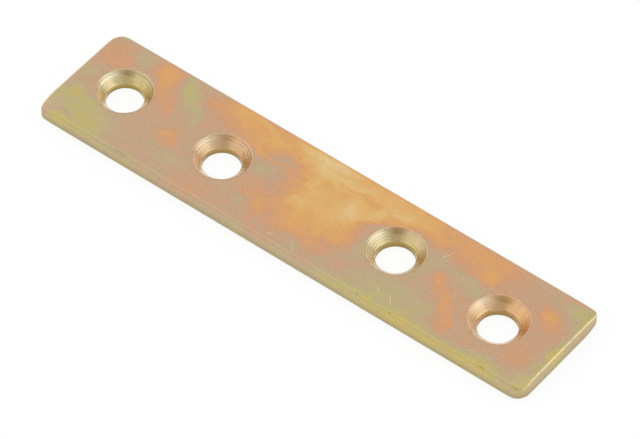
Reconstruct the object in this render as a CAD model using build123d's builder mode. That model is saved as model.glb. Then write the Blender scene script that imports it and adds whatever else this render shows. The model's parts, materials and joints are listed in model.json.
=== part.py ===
"""Flat mending plate, 3 inches long: one sheared steel strip with four countersunk screw holes.

Millimetres. The plate lies flat with its underside on Z = 0 and its outline centred on the Z axis.
X runs along the plate, and +Z is the side the screws enter from.
"""

import os

from build123d import *

os.makedirs("parts", exist_ok=True)

# strip
plate_length = 76.2
plate_width = 16.0
plate_thickness = 2.3

# plan corners: cropping leaves the two corners on one diagonal rounder than the other two
tight_corner_radius = 0.85
wide_corner_radius = 1.65

# edges: shearing rolls the -Y edge over on top and the +Y edge over underneath, and leaves
# every other edge nearly sharp
roll_inset = 0.4
roll_drop = 0.7
sharp_edge_radius = 0.14
roll_tool_margin = 1.0

# screw holes
clear_diameter = 5.1
sink_diameter = 7.9
sink_angle = 90.0
sink_rim_radius = 0.25
hole_exit_break = 0.12

# hole pattern: two pairs of holes, each hole stepping to the other side of the middle line
low_end_distance = 7.1
high_end_distance = 9.1
inner_spacing = 26.7
stagger = 0.55

# driven sizes
half_length = plate_length / 2
half_width = plate_width / 2
clear_radius = clear_diameter / 2
low_outer_x = low_end_distance - half_length
high_outer_x = half_length - high_end_distance
pattern_x = (low_outer_x + high_outer_x) / 2
hole_centres = [
    (low_outer_x, stagger, plate_thickness),
    (pattern_x - inner_spacing / 2, -stagger, plate_thickness),
    (pattern_x + inner_spacing / 2, stagger, plate_thickness),
    (high_outer_x, -stagger, plate_thickness),
]


def corners_on_diagonal(sketch, sign):
    """The corners of the sketch where X times Y has one sign."""
    return sketch.vertices().filter_by(lambda corner: corner.X * corner.Y * sign > 0)


def edges_at_height(part, height):
    """Every edge of the part that lies flat at one height."""
    return part.edges().filter_by_position(Axis.Z, height, height)


def hole_edges_at_height(part, height):
    """The round edges of the screw holes that lie flat at one height."""
    circles = edges_at_height(part, height).filter_by(GeomType.CIRCLE)
    return circles.filter_by(lambda edge: edge.radius >= clear_radius)


with BuildPart() as mending_plate:
    # blank with rounded plan corners
    with BuildSketch() as blank:
        Rectangle(plate_length, plate_width)
        fillet(corners_on_diagonal(blank, 1), tight_corner_radius)
        fillet(corners_on_diagonal(blank, -1), wide_corner_radius)
    extrude(amount=plate_thickness)
    fillet(edges_at_height(mending_plate, plate_thickness), sharp_edge_radius)
    fillet(edges_at_height(mending_plate, 0), sharp_edge_radius)

    # roll-over of the two long edges: the corner outside a quarter ellipse comes away along the
    # top of the -Y edge, and by a half turn about X along the underside of the +Y edge
    with BuildSketch(Plane.YZ):
        with BuildLine():
            roll_curve = EllipticalCenterArc(
                center=(roll_inset - half_width, plate_thickness - roll_drop),
                x_radius=roll_inset,
                y_radius=roll_drop,
                start_angle=90,
                arc_size=90,
            )
            Polyline(
                roll_curve @ 1,
                (-half_width - roll_tool_margin, plate_thickness - roll_drop),
                (-half_width - roll_tool_margin, plate_thickness + roll_tool_margin),
                (roll_inset - half_width, plate_thickness + roll_tool_margin),
                roll_curve @ 0,
            )
        top_scrap = make_face()
        add(top_scrap.rotate(Axis((0, plate_thickness / 2, 0), (0, 0, 1)), 180))
    extrude(amount=half_length + roll_tool_margin, both=True, mode=Mode.SUBTRACT)

    # countersunk holes, entered from the top, with softened rims and a small break underneath
    with Locations(*hole_centres):
        CounterSinkHole(
            radius=clear_radius,
            counter_sink_radius=sink_diameter / 2,
            counter_sink_angle=sink_angle,
        )
    fillet(hole_edges_at_height(mending_plate, plate_thickness), sink_rim_radius)
    chamfer(hole_edges_at_height(mending_plate, 0), hole_exit_break)

mending_plate.part.label = "mending_plate"
export_step(mending_plate.part, "parts/mending_plate.step")
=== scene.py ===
"""Visual model of a flat mending plate: a sheared steel strip, zinc plated and yellow passivated.

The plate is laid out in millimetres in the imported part's own frame and scaled to metres once.
X runs along the plate, and +Z is the side the screws enter from.
"""

import json
import math

import bmesh
import bpy
import numpy as np
from mathutils import Matrix, Vector, geometry, noise


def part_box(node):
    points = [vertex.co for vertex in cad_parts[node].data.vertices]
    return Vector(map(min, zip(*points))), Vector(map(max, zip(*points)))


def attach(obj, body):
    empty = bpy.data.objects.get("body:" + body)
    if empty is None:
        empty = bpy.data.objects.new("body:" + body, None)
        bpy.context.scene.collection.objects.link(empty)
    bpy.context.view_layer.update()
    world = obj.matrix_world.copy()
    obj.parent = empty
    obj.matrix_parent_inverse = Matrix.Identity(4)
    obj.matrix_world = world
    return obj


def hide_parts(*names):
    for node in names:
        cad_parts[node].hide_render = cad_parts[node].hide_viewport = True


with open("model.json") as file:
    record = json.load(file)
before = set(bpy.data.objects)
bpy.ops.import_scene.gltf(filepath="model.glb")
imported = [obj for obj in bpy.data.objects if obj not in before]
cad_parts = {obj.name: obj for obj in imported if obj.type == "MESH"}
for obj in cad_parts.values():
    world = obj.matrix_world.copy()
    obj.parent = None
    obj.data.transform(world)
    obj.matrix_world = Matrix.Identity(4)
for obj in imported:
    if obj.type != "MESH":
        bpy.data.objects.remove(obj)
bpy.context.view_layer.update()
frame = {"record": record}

MM = 0.001

# ---------------------------------------------------------------------------------------------
# Sizes of the plate, in millimetres

high_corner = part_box("mending_plate")[1]
half_length = high_corner.x / MM
half_width = high_corner.y / MM
thickness = high_corner.z / MM
bores = [mount for mount in frame["record"]["mounts"] if mount["kind"] == "bore"]
hole_centres = [(bore["pos_m"][0] / MM, bore["pos_m"][1] / MM) for bore in bores]
clear_radius = bores[0]["dims"]["r_mm"]

tight_corner_radius = 0.85
wide_corner_radius = 1.65
roll_inset = 0.4
roll_drop = 0.7
sharp_edge_radius = 0.14
sink_radius = 3.95
sink_rim_radius = 0.4
sink_foot_radius = 0.5
hole_exit_break = 0.12

# mesh density
edge_step = 0.45
corner_steps = 10
round_steps = 8
wall_steps = 5
hole_segments = 144
cone_rings = 44
land_rings = 5
foot_steps = 6
guard_width = 0.05
face_step = 0.7
face_sliver = 0.02

# unevenness of the worked steel
roll_waviness = 0.12
end_edge_wear = 0.11
corner_roll = 0.85
corner_wear = 0.2
corner_reach = 3.2
face_unevenness = 0.03
tool_mark_pitch = 0.42
tool_mark_depth = 0.026
chatter_depth = 0.02
sink_depth_errors = [-0.18, -0.09, -0.05, 0.02]
foot_height_errors = [-0.14, -0.08, 0.02, 0.0]
bore_errors = [-0.12, -0.06, -0.04, 0.0]

# each countersink: film added over its cone, where its painted dark reflection sits, and how strong its
# painted dark reflection, inner reflection and highlight are
sink_film_shifts = [0.16, -0.04, 0.14, -0.10]
stain_angles = [124, 118, 126, 112]
stain_levels = [0.9, 0.6, 1.0, 0.8]
amber_levels = [0.7, 0.9, 0.7, 1.0]
burnish_levels = [1.0, 0.65, 0.75, 0.7]

# where the painted dark reflection, inner reflection, highlight and fill light lie round every
# countersink: middle and reach, in degrees from +X
stain_reach = 28
amber_side = (-10, 46)
burnished_side = (168, 60)
shaded_side = (240, 46)
half_shaded_side = (312, 40)
half_shaded_level = 0.7

# film on the plain face, from 0 to 1
base_film = 0.665


# ---------------------------------------------------------------------------------------------
# Plate mesh


def smoothstep(value, start, end):
    """0 below start, 1 above end, and a smooth rise between."""
    share = min(max((value - start) / (end - start), 0.0), 1.0)
    return share * share * (3 - 2 * share)


def lobe(angle, centre, reach):
    """1 at an angle round a hole, falling to 0 at a reach either side; the angle is in radians."""
    apart = (math.degrees(angle) - centre + 180) % 360 - 180
    return max(1 - (apart / reach) ** 2, 0.0) ** 2


def outline_stations():
    """Points round the plan outline, anticlockwise, each with its outward normal."""
    arcs = []
    for turn in range(4):
        radius = wide_corner_radius if turn % 2 else tight_corner_radius
        start = math.pi / 2 * turn
        side_x = math.copysign(1, math.cos(start + 0.1))
        side_y = math.copysign(1, math.sin(start + 0.1))
        centre = Vector((side_x * (half_length - radius), side_y * (half_width - radius)))
        angles = [start + math.pi / 2 * step / corner_steps for step in range(corner_steps + 1)]
        normals = [Vector((math.cos(angle), math.sin(angle))) for angle in angles]
        arcs.append([(centre + radius * normal, normal) for normal in normals])
    stations = []
    for arc, following in zip(arcs, arcs[1:] + arcs[:1]):
        stations.extend(arc)
        end, normal = arc[-1]
        run = following[0][0] - end
        count = round(run.length / edge_step)
        stations.extend((end + run * step / count, normal) for step in range(1, count))
    return stations


def edge_round(point, facing, end_share):
    """Inset and drop of an edge's round, given how squarely the edge faces its rolled side."""
    share = max(facing, 0.0) ** 2
    wave = 1 + roll_waviness * share * noise.noise(Vector((point.x * 0.16, facing, 7.0)))
    plain = sharp_edge_radius + end_edge_wear * end_share
    inset = plain + (roll_inset - plain) * share
    drop = plain + (roll_drop - plain) * share
    return inset * wave, drop * wave


def edge_column(point, normal):
    """One column of the plate's edge, from the underside up to the top: (inset, height, wear)."""
    # the rounds of the end edges carry pale rubbed metal and a painted highlight
    wear_share = smoothstep(abs(normal.x), 0.5, 1.0)
    low_inset, low_drop = edge_round(point, normal.y, wear_share)
    top_inset, top_drop = edge_round(point, -normal.y, wear_share)
    column = [(low_inset + guard_width, 0.0, 0.0)]
    for step in range(round_steps + 1):
        angle = math.pi / 2 * step / round_steps
        height = low_drop * (1 - math.cos(angle))
        wear = 0.5 * wear_share * math.sin(2 * angle)
        column.append((low_inset * (1 - math.sin(angle)), height, wear))
    for step in range(1, wall_steps):
        share = step / wall_steps
        column.append((0.0, low_drop + (thickness - top_drop - low_drop) * share, 0.0))
    for step in range(round_steps + 1):
        angle = math.pi / 2 * step / round_steps
        height = thickness - top_drop * (1 - math.sin(angle))
        column.append((top_inset * (1 - math.cos(angle)), height, wear_share * math.sin(2 * angle)))
    column.append((top_inset + guard_width, thickness, 0.0))
    return column


def tool_marks(run, hole_index):
    """Height of the turned rings on a countersink's cone, run millimetres down its slope."""
    uneven = noise.noise(Vector((run * 1.4, 3.0 * hole_index, 0.0)))
    ring = (run / tool_mark_pitch + 0.31 * hole_index + 0.5 * uneven) % 1
    return tool_mark_depth * (0.6 + 0.8 * uneven) * abs(ring - 0.5) * 2


def chatter(angle, height, hole_index):
    """How far the cutter bit deeper or shallower at one place of a cone."""
    around = Vector((math.cos(angle), math.sin(angle))) * 3.5
    bite = noise.noise(Vector((around.x, around.y, height * 2.0 + 9.0 * hole_index)))
    return chatter_depth * bite


def rim_radius(hole_index):
    """Where the rounded rim of a countersink runs out into the top face."""
    return sink_radius + sink_depth_errors[hole_index] + sink_rim_radius * math.tan(math.pi / 8)


def hole_column(hole_index):
    """Profile of a countersunk hole from the top face down: (radius, height, cone, land, wear)."""
    bore = clear_radius + bore_errors[hole_index]
    foot_height = thickness - (sink_radius - clear_radius) + foot_height_errors[hole_index]
    rim_centre = rim_radius(hole_index)
    column = [(rim_centre + guard_width, thickness, 0.0, 0.0, 0.0)]
    for step in range(round_steps + 1):
        share = step / round_steps
        angle = math.pi / 2 + math.pi / 4 * share
        radius = rim_centre + sink_rim_radius * math.cos(angle)
        height = thickness - sink_rim_radius * (1 - math.sin(angle))
        column.append((radius, height, 0.75 * share, 0.0, 0.0))
    # the foot's round touches the cone's slope and the wall of the bore
    cone_top = Vector(column[-1][:2])
    foot_corner = Vector((bore, foot_height))
    down_slope = (foot_corner - cone_top).normalized()
    bend = math.acos(-down_slope.y)
    cone_foot = foot_corner - down_slope * sink_foot_radius * math.tan(bend / 2)
    slope = cone_foot - cone_top
    into_metal = Vector((-down_slope.y, down_slope.x))
    for step in range(1, cone_rings + 1):
        share = step / cone_rings
        fade = smoothstep(share, 0.0, 0.1) * smoothstep(1 - share, 0.0, 0.1)
        mark = into_metal * tool_marks(slope.length * share, hole_index) * fade
        radius, height = cone_top + slope * share + mark
        column.append((radius, height, 0.75 + 0.25 * smoothstep(share, 0.0, 0.2), 0.0, 0.0))
    for step in range(1, foot_steps + 1):
        share = step / foot_steps
        angle = bend * (1 - share)
        radius = bore + sink_foot_radius * (1 - math.cos(angle))
        height = foot_height - sink_foot_radius * (math.tan(bend / 2) - math.sin(angle))
        column.append((radius, height, 1.0, smoothstep(share, 0.4, 1.0), 0.0))
    land_top = column[-1][1]
    for step in range(1, land_rings + 1):
        share = step / land_rings
        height = land_top + (hole_exit_break - land_top) * share
        column.append((bore, height, 1 - share, 1.0, 0.0))
    column.append((bore + hole_exit_break, 0.0, 0.0, 0.0, 1.0))
    column.append((bore + hole_exit_break + guard_width, 0.0, 0.0, 0.0, 0.0))
    return column


# values that the mesh carries at its vertices for the material to read
ZONES = ["edge_side", "cone", "land", "wear", "film_shift", "burnish", "shaded", "stain", "amber"]


class PlateMesh:
    """The plate's surface, built as closed rings of walls and two triangulated faces."""

    def __init__(self):
        self.mesh = bmesh.new()
        self.uv = self.mesh.loops.layers.uv.new("surface_mm")
        self.zones = {name: self.mesh.verts.layers.float.new(name) for name in ZONES}

    def vertex(self, place, **zones):
        vertex = self.mesh.verts.new(place)
        for name, value in zones.items():
            vertex[self.zones[name]] = value
        return vertex

    def wall(self, rings, around, along):
        """Quads between neighbouring rings; around and along are their places in millimetres."""
        count = len(rings[0])
        for row in range(len(rings) - 1):
            for place in range(count):
                following = (place + 1) % count
                corners = [
                    (rings[row][place], around[place], along[row]),
                    (rings[row][following], around[place + 1], along[row]),
                    (rings[row + 1][following], around[place + 1], along[row + 1]),
                    (rings[row + 1][place], around[place], along[row + 1]),
                ]
                face = self.mesh.faces.new([corner[0] for corner in corners])
                for loop, corner in zip(face.loops, corners):
                    loop[self.uv].uv = corner[1:]

    def edge(self):
        """The plate's whole edge. Returns its lowest and highest ring."""
        stations = outline_stations()
        columns = [edge_column(point, normal) for point, normal in stations]
        rings = []
        for row in range(len(columns[0])):
            ring = []
            for (point, normal), column in zip(stations, columns):
                inset, height, wear = column[row]
                place = point - normal * inset
                side = smoothstep(-inset, -0.3, 0.0)
                end = smoothstep(abs(normal.x), 0.5, 1.0)
                low = 1 - smoothstep(height, 0.1, 1.7)
                ring.append(
                    self.vertex(
                        (place.x, place.y, height),
                        edge_side=side,
                        film_shift=(0.12 * low - 0.14 * end * (1 - low)) * side,
                        wear=wear,
                    )
                )
            rings.append(ring)
        points = [point for point, normal in stations] + [stations[0][0]]
        steps = [(b - a).length for a, b in zip(points, points[1:])]
        around = np.concatenate([[0.0], np.cumsum(steps)])
        along = [float(np.mean([column[row][1] for column in columns])) for row in range(len(rings))]
        self.wall(rings, around, along)
        return rings[0], rings[-1]

    def hole(self, index):
        """One countersunk hole. Returns its highest and lowest ring."""
        centre_x, centre_y = hole_centres[index]
        column = hole_column(index)
        rings = []
        for radius, height, cone, land, wear in column:
            ring = []
            for step in range(hole_segments):
                angle = 2 * math.pi * step / hole_segments
                cut = radius + chatter(angle, height, index) * cone * (1 - land)
                place = (centre_x + cut * math.cos(angle), centre_y + cut * math.sin(angle), height)
                high = 0.2 + 0.8 * smoothstep(height, 1.3, thickness - 0.3)
                # painted dark reflection near the top of each cone, strongest high on the slope
                stain = lobe(angle, stain_angles[index], stain_reach) * stain_levels[index] * high
                # painted fill light on the cone's near sides, which would otherwise lie in shade
                half_shade = half_shaded_level * lobe(angle, *half_shaded_side)
                ring.append(
                    self.vertex(
                        place,
                        cone=cone,
                        land=land,
                        wear=wear,
                        film_shift=cone * sink_film_shifts[index],
                        burnish=cone * lobe(angle, *burnished_side) * burnish_levels[index],
                        shaded=cone * max(lobe(angle, *shaded_side), half_shade),
                        stain=cone * stain,
                        amber=cone * lobe(angle, *amber_side) * amber_levels[index],
                    )
                )
            rings.append(ring)
        around = [2 * math.pi * clear_radius * step / hole_segments for step in range(hole_segments + 1)]
        runs = [math.dist(a[:2], b[:2]) for a, b in zip(column, column[1:])]
        along = np.concatenate([[0.0], np.cumsum(runs)])
        self.wall(rings, around, along)
        return rings[0], rings[-1]

    def face(self, edge_ring, hole_rings, height, hole_radii):
        """A flat face with its holes, triangulated over an even spread of points."""
        vertices = list(edge_ring)
        for ring in hole_rings:
            vertices.extend(ring)
        loops = []
        start = 0
        for ring in [edge_ring, *hole_rings]:
            count = len(ring)
            loops.extend((start + step, start + (step + 1) % count) for step in range(count))
            start += count
        for row in range(1, round(2 * half_width / face_step)):
            y = -half_width + row * face_step
            for column in range(1, round(2 * half_length / face_step)):
                x = -half_length + (column + 0.5 * (row % 2)) * face_step
                clear = min(half_length - abs(x), half_width - abs(y)) > roll_inset + face_step / 2
                for centre, radius in zip(hole_centres, hole_radii):
                    clear = clear and math.dist((x, y), centre) > radius + face_step / 2
                if clear:
                    vertices.append(self.vertex((x, y, height)))
        flat = [vertex.co.xy for vertex in vertices]
        made = geometry.delaunay_2d_cdt(flat, loops, [], 1, 1e-6)
        for triangle in made[2]:
            corners = [vertices[made[3][place][0]] for place in triangle]
            middle = sum((corner.co for corner in corners), Vector()) / 3
            inside = [
                math.dist(middle.xy, centre) < radius - face_sliver
                for centre, radius in zip(hole_centres, hole_radii)
            ]
            if any(inside):
                continue
            if height < thickness / 2:
                corners.reverse()
            face = self.mesh.faces.new(corners)
            for loop in face.loops:
                loop[self.uv].uv = loop.vert.co.xy

    def settle(self):
        """Lets the faces swell and sink slightly and roll over at the corners, inside the box."""
        for vertex in self.mesh.verts:
            above = smoothstep(vertex.co.z, thickness / 2, thickness)
            below = 1 - smoothstep(vertex.co.z, 0.0, thickness / 2)
            place = Vector((vertex.co.x * 0.09, vertex.co.y * 0.14, above * 5))
            sink = face_unevenness * (0.5 + 0.5 * noise.noise(place))
            apart = math.dist((abs(vertex.co.x), abs(vertex.co.y)), (half_length, half_width))
            bend = max(1 - apart / corner_reach, 0.0) ** 2
            near = vertex.co.y < 0
            sink_above = sink + bend * (corner_roll if near else corner_wear)
            sink_below = sink + bend * (corner_wear if near else corner_roll)
            vertex.co.z += sink_below * below - sink_above * above


def build_plate(material):
    """The finished plate as one piece, in metres."""
    plate = PlateMesh()
    low_ring, top_ring = plate.edge()
    hole_rings = [plate.hole(index) for index in range(len(hole_centres))]
    top_radii = [rim_radius(index) + guard_width for index in range(len(hole_centres))]
    low_radii = [clear_radius + error + hole_exit_break + guard_width for error in bore_errors]
    plate.face(top_ring, [rings[0] for rings in hole_rings], thickness, top_radii)
    plate.face(low_ring, [rings[1] for rings in hole_rings], 0.0, low_radii)
    plate.settle()
    mesh = bpy.data.meshes.new("zinc_plate")
    plate.mesh.transform(Matrix.Scale(MM, 4))
    plate.mesh.to_mesh(mesh)
    plate.mesh.free()
    mesh.shade_smooth()
    mesh.set_sharp_from_angle(angle=math.radians(32))
    mesh.materials.append(material)
    piece = bpy.data.objects.new("zinc_plate", mesh)
    bpy.context.scene.collection.objects.link(piece)
    return piece


# ---------------------------------------------------------------------------------------------
# Materials


def srgb(red, green, blue):
    """A colour given as it looks on screen, 0 to 255, as Blender's linear value."""
    linear = []
    for channel in (red, green, blue):
        share = channel / 255
        linear.append(share / 12.92 if share <= 0.04045 else ((share + 0.055) / 1.055) ** 2.4)
    return (*linear, 1.0)


class ShaderTree:
    """Adds shader nodes to a material, linking each input as the node is made."""

    def __init__(self, owner):
        owner.use_nodes = True
        self.tree = owner.node_tree
        self.tree.nodes.clear()

    def add(self, kind, inputs=None, **settings):
        node = self.tree.nodes.new(kind)
        for name, value in settings.items():
            setattr(node, name, value)
        for socket, value in (inputs or {}).items():
            if isinstance(value, bpy.types.NodeSocket):
                self.tree.links.new(value, node.inputs[socket])
            else:
                node.inputs[socket].default_value = value
        return node

    def math(self, operation, first, second=0.0, third=0.0, clamp=False):
        inputs = {0: first, 1: second, 2: third}
        return self.add("ShaderNodeMath", inputs, operation=operation, use_clamp=clamp).outputs[0]

    def vector(self, operation, first, second, third=(0, 0, 0)):
        inputs = {0: first, 1: second, 2: third}
        node = self.add("ShaderNodeVectorMath", inputs, operation=operation)
        return node.outputs["Value" if operation == "DISTANCE" else "Vector"]

    def spread(self, value, low, high, out_low=0.0, out_high=1.0):
        inputs = {0: value, 1: low, 2: high, 3: out_low, 4: out_high}
        node = self.add("ShaderNodeMapRange", inputs, interpolation_type="SMOOTHSTEP")
        return node.outputs[0]

    def noise(self, vector, scale, detail=2.0, roughness=0.5, distortion=0.0):
        inputs = {
            "Vector": vector,
            "Scale": scale,
            "Detail": detail,
            "Roughness": roughness,
            "Distortion": distortion,
        }
        return self.add("ShaderNodeTexNoise", inputs)

    def place(self, vector, location=(0, 0, 0), turn=0.0, scale=(1, 1, 1), kind="POINT"):
        inputs = {
            "Vector": vector,
            "Location": location,
            "Rotation": (0, 0, math.radians(turn)),
            "Scale": scale,
        }
        return self.add("ShaderNodeMapping", inputs, vector_type=kind).outputs[0]

    def blend(self, factor, first, second, mode="MIX"):
        inputs = {0: factor, 6: first, 7: second}
        node = self.add("ShaderNodeMix", inputs, data_type="RGBA", blend_type=mode)
        return node.outputs[2]

    def attribute(self, name):
        return self.add("ShaderNodeAttribute", attribute_name=name).outputs["Fac"]

    def ramp(self, value, stops):
        node = self.add("ShaderNodeValToRGB", {0: value})
        elements = node.color_ramp.elements
        elements[0].position, elements[0].color = stops[0]
        elements[1].position, elements[1].color = stops[-1]
        for position, colour in stops[1:-1]:
            elements.new(position).color = colour
        return node.outputs["Color"]

    def looked_at(self):
        """1 where the camera sees the surface, directly, mirrored or through glass."""
        path = self.add("ShaderNodeLightPath").outputs
        mirrored = self.math("MAXIMUM", path["Is Glossy Ray"], path["Is Transmission Ray"])
        return self.math("MAXIMUM", path["Is Camera Ray"], mirrored)

    def patches(self, vector, start, rows, depth=1.15 * thickness):
        """Adds soft-edged oval patches to a value: (x, y, length, width, turn, amount), in mm."""
        total = start
        for x, y, length, width, turn, amount in rows:
            oval = self.place(
                vector,
                location=(x, y, thickness),
                turn=turn,
                scale=(length / 2, width / 2, depth),
                kind="TEXTURE",
            )
            ball = self.add("ShaderNodeTexGradient", {0: oval}, gradient_type="SPHERICAL")
            soft = self.spread(ball.outputs["Fac"], 0.0, 0.75)
            total = self.math("MULTIPLY_ADD", soft, amount, total)
        return total


# interference colours of the passivation, from the thinnest film to the thickest
FILM_COLOURS = [
    (0.00, srgb(224, 196, 144)),
    (0.12, srgb(223, 190, 134)),
    (0.24, srgb(222, 179, 114)),
    (0.36, srgb(219, 168, 105)),
    (0.48, srgb(216, 162, 109)),
    (0.58, srgb(208, 158, 121)),
    (0.68, srgb(195, 164, 133)),
    (0.78, srgb(190, 170, 132)),
    (0.88, srgb(190, 176, 124)),
    (1.00, srgb(198, 178, 108)),
]

# film patches on the screw side: x, y, length, width, turn in degrees, change of film
FILM_PATCHES = [
    # long tints
    (1.3, 1.0, 16.5, 14.5, -8, -0.40),
    (4.5, 6.9, 32.0, 7.4, 0, -0.38),
    (-13.0, 6.4, 24.0, 7.0, 0, -0.20),
    (20.5, 6.6, 22.0, 9.0, 0, -0.14),
    (17.5, -5.6, 20.0, 7.0, 4, 0.14),
    (-34.0, -4.8, 18.0, 7.0, -8, 0.20),
    (-34.5, -8.0, 10.0, 1.8, 0, 0.22),
    (24.0, -8.4, 56.0, 4.0, 0, 0.28),
    (-28.0, -8.4, 24.0, 3.4, 0, 0.12),
    (38.2, -2.0, 4.0, 20.0, 0, 0.22),
    (38.8, 1.0, 3.0, 24.0, 0, 0.20),
    (-4.5, -3.5, 18.0, 6.0, -10, -0.10),
    # left end
    (-35.8, 4.8, 6.5, 7.0, 0, -0.10),
    (-32.6, 6.6, 4.0, 5.0, -20, 0.12),
    (-36.8, 0.6, 4.0, 4.0, 0, 0.10),
    (-36.8, -3.4, 6.0, 2.6, -10, 0.10),
    (-31.0, -6.8, 6.0, 3.0, -10, 0.12),
    (-28.2, 6.2, 6.0, 6.0, -40, -0.20),
    (-26.4, 2.6, 8.0, 4.0, -48, -0.10),
    (-24.0, 5.0, 8.0, 3.4, -48, 0.20),
    (-24.7, 5.2, 2.8, 1.8, -48, 0.05),
    (-21.2, 2.6, 5.0, 3.0, -60, 0.14),
    (-21.5, -2.5, 4.2, 3.8, 0, -0.16),
    (-21.5, -2.6, 1.4, 1.2, 0, 0.12),
    (-18.8, 2.4, 3.4, 3.0, 0, -0.06),
    (-18.5, -4.8, 7.0, 3.0, 20, 0.08),
    # middle
    (-15.6, 6.9, 9.0, 4.4, -4, -0.17),
    (-10.8, 4.6, 6.0, 3.4, 8, -0.12),
    (-11.0, 6.2, 16.0, 1.4, -22, -0.12),
    (-9.0, 3.2, 20.0, 1.0, -10, -0.14),
    (-7.0, 7.4, 5.0, 3.0, 0, -0.14),
    (-8.4, 0.9, 4.0, 3.4, 0, 0.10),
    (-8.6, -5.2, 3.0, 2.4, 0, 0.12),
    (-5.4, -5.2, 6.0, 2.4, -66, -0.08),
    (-4.0, 5.8, 9.4, 6.8, -12, -0.21),
    (-2.0, 8.0, 10.0, 3.0, 0, -0.26),
    (-10.4, 0.9, 3.2, 2.4, 0, -0.08),
    (-3.4, -0.9, 2.4, 2.4, 0, -0.10),
    (0.2, -1.2, 3.6, 2.6, 0, 0.09),
    (-2.8, 3.0, 3.4, 2.8, 0, -0.12),
    (-2.4, -0.8, 4.0, 3.4, 0, -0.12),
    (4.6, 2.6, 5.0, 5.4, -6, -0.16),
    (9.0, 4.4, 9.0, 4.4, 16, -0.22),
    (11.4, 5.6, 11.0, 1.6, 14, -0.05),
    (7.0, 3.2, 3.6, 3.6, 0, -0.18),
    (3.4, 5.0, 9.0, 1.2, -4, 0.14),
    (1.4, 1.8, 3.0, 3.0, 0, 0.05),
    (6.4, -2.6, 6.0, 4.0, -20, -0.12),
    (4.4, -5.0, 11.0, 3.0, -4, -0.10),
    (9.0, -2.2, 3.6, 3.6, 0, 0.12),
    (9.2, 0.9, 2.6, 2.2, 0, -0.10),
    (9.0, 3.0, 2.8, 2.2, 0, 0.10),
    (11.0, 5.0, 3.2, 2.2, 0, 0.10),
    (3.2, -3.0, 2.8, 2.2, 0, -0.09),
    (15.2, 4.8, 3.0, 2.2, 0, -0.09),
    (15.4, 7.1, 3.2, 2.2, 0, 0.09),
    # right end
    (17.4, 1.6, 4.0, 4.6, 0, 0.10),
    (23.6, 1.6, 6.0, 3.4, -22, 0.14),
    (20.0, -0.8, 9.0, 3.2, -46, -0.14),
    (20.6, 2.2, 4.4, 2.6, 0, 0.10),
    (23.4, -4.6, 8.0, 4.4, -62, -0.18),
    (25.2, -5.2, 2.6, 2.4, -30, -0.10),
    (24.5, 4.2, 3.6, 3.0, 0, -0.16),
    (32.0, -6.9, 9.0, 2.6, 6, 0.14),
    (34.0, 3.4, 6.4, 4.6, -20, -0.16),
    (33.4, 3.5, 2.8, 2.4, -10, -0.12),
    (34.2, -3.8, 6.4, 5.0, -30, -0.10),
    (36.8, 6.4, 5.6, 5.0, 0, 0.22),
    (37.2, -0.8, 3.6, 3.8, 0, 0.17),
    (37.4, -6.8, 3.4, 3.0, 0, 0.16),
]

# hairline scratches: x, y, length, width, turn in degrees, strength
SCRATCHES = [
    (17.9, 3.8, 2.6, 0.12, 70, 0.7),
    (18.4, 3.2, 2.2, 0.08, 40, 0.4),
    (21.6, 1.4, 3.4, 0.08, 86, 0.5),
    (22.4, -0.6, 2.2, 0.08, -62, 0.4),
    (14.6, -5.9, 2.6, 0.10, -62, 0.5),
    (16.7, -6.2, 2.4, 0.12, -56, 0.7),
    (24.6, -1.2, 2.4, 0.07, 74, 0.4),
    (1.9, -6.8, 3.2, 0.08, -52, 0.5),
    (2.2, 0.6, 3.6, 0.07, 86, 0.4),
    (-7.4, -3.6, 1.6, 0.08, 20, 0.5),
    (-1.6, -6.8, 1.2, 0.16, 20, 0.6),
    (-30.5, -5.0, 2.4, 0.07, 12, 0.4),
    (29.5, -6.4, 2.2, 0.07, 30, 0.4),
]

# dark nicks on the near roll: x, y, length, width, turn in degrees, strength
NICKS = [
    (31.9, -7.80, 1.5, 0.30, 2, 0.7),
    (17.9, -7.85, 0.8, 0.34, 0, 0.8),
    (12.8, -7.85, 0.7, 0.30, 0, 0.6),
    (3.0, -7.85, 0.7, 0.30, 0, 0.5),
    (-25.0, -7.80, 5.0, 0.24, 0, 0.4),
]


def film_thickness(tree, place_mm, across_mm, height_mm, mottle, side):
    """Thickness of the passivation, 0 to 1: placed patches with ragged outlines, over a drift."""
    broad = tree.noise(place_mm, 0.26, detail=4.0, roughness=0.55).outputs["Color"]
    broad = tree.vector("MULTIPLY_ADD", broad, (4.0, 4.0, 0.0), (-2.0, -2.0, 0.0))
    fine = tree.noise(place_mm, 1.5, detail=4.0, roughness=0.65).outputs["Color"]
    fine = tree.vector("MULTIPLY_ADD", fine, (0.8, 0.8, 0.0), (-0.4, -0.4, 0.0))
    bent = tree.vector("ADD", tree.vector("ADD", place_mm, broad), fine)
    start = tree.math("ADD", base_film, tree.attribute("film_shift"))
    film = tree.patches(bent, start, FILM_PATCHES)
    slow = tree.noise(place_mm, 0.2, detail=5.0, roughness=0.7).outputs["Fac"]
    drift = tree.spread(height_mm, 0.0, thickness / 2, 0.9, 0.36)
    film = tree.math("MULTIPLY_ADD", tree.math("SUBTRACT", slow, 0.5), drift, film)
    film = tree.math("MULTIPLY_ADD", tree.math("SUBTRACT", mottle, 0.5), 0.12, film)
    # painted shade: the film is drawn to a duller tone in a narrow line along the far edge
    rim = tree.spread(across_mm, half_width - 0.5, half_width - 0.05, 0.0, 0.6)
    film = tree.math("MULTIPLY_ADD", tree.math("SUBTRACT", 0.68, film), rim, film)
    # the rolled and sheared edges carry streaks drawn out along the strip
    streak_place = tree.place(place_mm, scale=(0.10, 2.6, 2.6))
    streaks = tree.noise(streak_place, 1.0, detail=4.0, roughness=0.6).outputs["Fac"]
    streak_film = tree.math("MULTIPLY", tree.math("SUBTRACT", streaks, 0.42), side)
    return tree.math("MULTIPLY_ADD", streak_film, 0.7, film)


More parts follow.
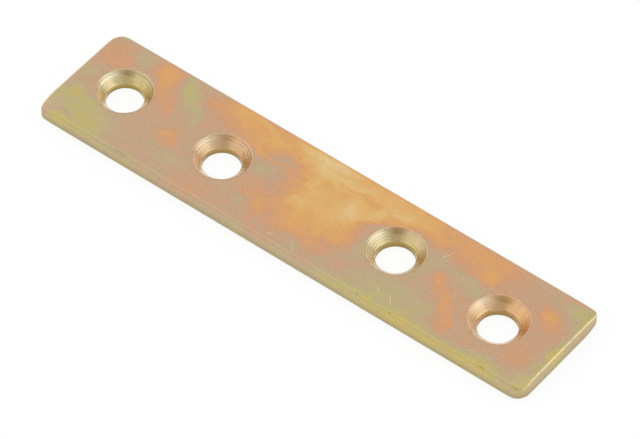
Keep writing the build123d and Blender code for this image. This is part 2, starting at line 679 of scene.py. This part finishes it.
def passivated_zinc():
    """Yellow passivated zinc: a satin metal under a film whose thickness sets its colour."""
    material = bpy.data.materials.new("yellow_passivated_zinc")
    tree = ShaderTree(material)
    place_mm = tree.place(
        tree.add("ShaderNodeTexCoord").outputs["Object"], scale=(1 / MM, 1 / MM, 1 / MM)
    )
    across_mm, height_mm = tree.add("ShaderNodeSeparateXYZ", {0: place_mm}).outputs[1:3]
    surface_mm = tree.add("ShaderNodeUVMap", uv_map="surface_mm").outputs[0]
    side = tree.attribute("edge_side")
    cone = tree.attribute("cone")
    land = tree.attribute("land")
    wear = tree.attribute("wear")
    mottle = tree.noise(place_mm, 2.2, detail=5.0, roughness=0.7).outputs["Fac"]
    film = film_thickness(tree, place_mm, across_mm, height_mm, mottle, side)
    colour = tree.ramp(film, FILM_COLOURS)

    # countersinks: a paler film on the turned cone, with a painted highlight, painted dark and inner
    # reflections and painted fill light in places
    ring_place = tree.place(surface_mm, scale=(0.10, 3.0, 1.0))
    rings = tree.noise(ring_place, 1.0, detail=2.0, roughness=0.6).outputs["Fac"]
    sink_colour = tree.blend(0.20, colour, srgb(228, 204, 150))
    # painted fill light: a paler colour where the cone's near sides lie in shade
    sink_colour = tree.blend(tree.attribute("shaded"), sink_colour, srgb(248, 229, 206))
    deep = tree.spread(height_mm, 0.9, 2.0, 0.35, 0.0)
    deep = tree.math("MULTIPLY", deep, tree.spread(tree.attribute("film_shift"), 0.0, 0.1, 0.3, 1.0))
    sink_colour = tree.blend(deep, sink_colour, srgb(226, 202, 112))
    # painted highlight: pale cream on the side of each cone that mirrors the right lamp, broken by the
    # tool rings
    bright_cut = tree.math("MULTIPLY", tree.attribute("burnish"), tree.spread(rings, 0.3, 0.6, 0.5))
    bright_cut = tree.math("MULTIPLY", bright_cut, tree.spread(height_mm, 1.2, 2.1, 0.25, 1.0))
    sink_colour = tree.blend(bright_cut, sink_colour, srgb(250, 242, 208))
    # painted inner reflection: deeper orange where a cone mirrors its own opposite wall
    sink_colour = tree.blend(tree.attribute("amber"), sink_colour, srgb(206, 156, 84))
    # painted dark reflection: dark olive near the top of each cone, broken by the tool rings
    stained = tree.math("MULTIPLY", tree.attribute("stain"), tree.spread(rings, 0.3, 0.6, 0.3))
    sink_colour = tree.blend(stained, sink_colour, srgb(150, 116, 34))
    colour = tree.blend(cone, colour, sink_colour)
    # the bore's wall: its olive film, darkened further with painted shade inside the bore
    colour = tree.blend(tree.math("MULTIPLY", land, 0.85), colour, srgb(152, 126, 58))

    # grime in the mottle, the sheared sides darker towards the bottom, pale rubbed metal and painted
    # highlight at the edges, marks
    shade = tree.spread(mottle, 0.30, 0.62, 0.93, 1.03)
    # painted light: the sheared sides are lifted towards their top, and they grow darker towards the
    # bottom
    shade = tree.math("MULTIPLY_ADD", side, tree.spread(height_mm, 0.2, 1.5, -0.14, 0.06), shade)
    nick = tree.math("MINIMUM", tree.patches(place_mm, 0.0, NICKS, depth=0.5), 1.0)
    shade = tree.math("MULTIPLY_ADD", nick, -0.4, shade)
    colour = tree.blend(1.0, colour, shade, mode="MULTIPLY")
    # pale metal on rubbed edges, which along the end edges is also a painted highlight; the same pale
    # colour marks scratches and specks
    bare = srgb(250, 228, 176)
    worn = tree.math("MULTIPLY", wear, tree.spread(mottle, 0.35, 0.6, 0.35, 0.8))
    speck_cells = tree.add("ShaderNodeTexVoronoi", {"Vector": place_mm, "Scale": 0.9})
    speck_size = tree.spread(speck_cells.outputs["Distance"], 0.03, 0.09, 1.0, 0.0)
    speck_pick = tree.add("ShaderNodeSeparateColor", {0: speck_cells.outputs["Color"]})
    speck = tree.math("MULTIPLY", speck_size, tree.spread(speck_pick.outputs[0], 0.72, 0.85))
    scratch = tree.math("MINIMUM", tree.patches(place_mm, 0.0, SCRATCHES), 1.0)
    marks = tree.math("MAXIMUM", tree.math("MULTIPLY", speck, 0.35), scratch)
    colour = tree.blend(tree.math("MAXIMUM", worn, marks), colour, bare)

    # roughness: satin on the faces, smoother where a tool or the rolls burnished it
    roughness = tree.spread(mottle, 0.3, 0.7, 0.36, 0.46)
    roughness = tree.math("MULTIPLY_ADD", cone, -0.16, roughness)
    roughness = tree.math("MULTIPLY_ADD", wear, -0.08, roughness, clamp=True)

    # relief: plating grain, tool rings, shear streaks
    grain = tree.noise(place_mm, 6.0, detail=4.0, roughness=0.7).outputs["Fac"]
    height = tree.math("MULTIPLY", grain, 0.004)
    height = tree.math("MULTIPLY_ADD", tree.math("MULTIPLY", rings, cone), 0.008, height)
    shear_place = tree.place(surface_mm, scale=(5.0, 0.6, 1.0))
    shear = tree.noise(shear_place, 1.0, detail=3.0, roughness=0.6).outputs["Fac"]
    height = tree.math("MULTIPLY_ADD", tree.math("MULTIPLY", shear, side), 0.006, height)
    height = tree.math("MULTIPLY_ADD", scratch, -0.01, height)
    bump = tree.add("ShaderNodeBump", {"Strength": 1.0, "Distance": MM, "Height": height})

    shader = tree.add(
        "ShaderNodeBsdfPrincipled",
        {"Base Color": colour, "Metallic": 0.85, "Roughness": roughness, "Normal": bump.outputs[0]},
    )
    tree.add("ShaderNodeOutputMaterial", {"Surface": shader.outputs[0]})
    return material


def studio_floor():
    """Near-white floor that stays pale to the camera and in reflections, and keeps shadows."""
    material = bpy.data.materials.new("studio_floor")
    tree = ShaderTree(material)
    matte = tree.add("ShaderNodeBsdfDiffuse", {"Color": (0.95, 0.95, 0.95, 1)})
    white = tree.add("ShaderNodeEmission", {"Color": (1, 1, 1, 1), "Strength": 1.0})
    mixed = tree.add(
        "ShaderNodeMixShader",
        {0: tree.math("MULTIPLY", tree.looked_at(), 0.88), 1: matte.outputs[0], 2: white.outputs[0]},
    )
    tree.add("ShaderNodeOutputMaterial", {"Surface": mixed.outputs[0]})
    return material


# ---------------------------------------------------------------------------------------------
# Studio


LENS_AZIMUTH = -51.58
LENS_ELEVATION = 48.8


def direction(azimuth, elevation):
    """Unit vector at an azimuth from +X towards +Y and an elevation, in degrees."""
    around = math.radians(azimuth)
    up = math.radians(elevation)
    return Vector((math.cos(around) * math.cos(up), math.sin(around) * math.cos(up), math.sin(up)))


def softbox(name, azimuth, elevation, distance, size, radiance):
    """A square lamp facing the plate; a radiance of 1 mirrors as plain white."""
    light = bpy.data.lights.new(name, "AREA")
    light.size = size
    light.energy = radiance * math.pi * size**2
    lamp = bpy.data.objects.new(name, light)
    towards = direction(azimuth, elevation)
    lamp.location = towards * distance
    lamp.rotation_euler = towards.to_track_quat("Z", "Y").to_euler()
    bpy.context.scene.collection.objects.link(lamp)


def studio():
    """Floor, lamps and background."""
    floor_mesh = bpy.data.meshes.new("studio_floor")
    reach = 2.0
    floor_level = -0.01 * MM
    corners = [(-reach, -reach), (reach, -reach), (reach, reach), (-reach, reach)]
    floor_mesh.from_pydata([(x, y, floor_level) for x, y in corners], [], [(0, 1, 2, 3)])
    floor_mesh.materials.append(studio_floor())
    floor = bpy.data.objects.new("studio_floor", floor_mesh)
    bpy.context.scene.collection.objects.link(floor)

    softbox("back_softbox", 150, 60, 0.60, 0.80, 0.20)
    softbox("overhead_softbox", 90, 88, 0.60, 0.40, 0.20)
    softbox("right_softbox", 30, 40, 0.50, 0.46, 0.54)
    softbox("front_softbox", -124, 40, 0.60, 0.55, 0.35)
    softbox("left_fill", 172, 40, 0.60, 0.40, 0.20)
    softbox("low_fill", -160, 20, 0.60, 0.36, 0.30)

    world = bpy.data.worlds.new("studio_world")
    bpy.context.scene.world = world
    tree = ShaderTree(world)
    towards = tree.add("ShaderNodeTexCoord").outputs["Generated"]
    off_lens = tree.vector("DISTANCE", towards, direction(LENS_AZIMUTH, LENS_ELEVATION))
    mirrored_level = tree.spread(off_lens, 0.05, 0.45, 0.58, 0.78)
    camera_ray = tree.add("ShaderNodeLightPath").outputs["Is Camera Ray"]
    seen_level = tree.spread(camera_ray, 0.0, 1.0, mirrored_level, 1.0)
    room = tree.add("ShaderNodeBackground", {"Color": (1, 1, 1, 1), "Strength": 0.85})
    seen = tree.add("ShaderNodeBackground", {"Color": (1, 1, 1, 1), "Strength": seen_level})
    mixed = tree.add(
        "ShaderNodeMixShader", {0: tree.looked_at(), 1: room.outputs[0], 2: seen.outputs[0]}
    )
    tree.add("ShaderNodeOutputWorld", {"Surface": mixed.outputs[0]})


def camera():
    """Long lens looking down on the plate from beyond its -Y side and its +X end."""
    data = bpy.data.cameras.new("camera")
    data.sensor_width = 36.0
    data.lens = 311.1
    holder = bpy.data.objects.new("camera", data)
    towards = direction(LENS_AZIMUTH, LENS_ELEVATION)
    roll = Matrix.Rotation(math.radians(-0.267), 3, "Z")
    turn = towards.to_track_quat("Z", "Y").to_matrix() @ roll
    target = Vector((0.618, 0.359, 0.0)) * MM
    holder.matrix_world = Matrix.Translation(target + towards * 0.68848) @ turn.to_4x4()
    bpy.context.scene.collection.objects.link(holder)
    bpy.context.scene.camera = holder


plate = build_plate(passivated_zinc())
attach(plate, "root")
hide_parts("mending_plate")
studio()
camera()
bpy.context.scene.view_settings.view_transform = "Standard"
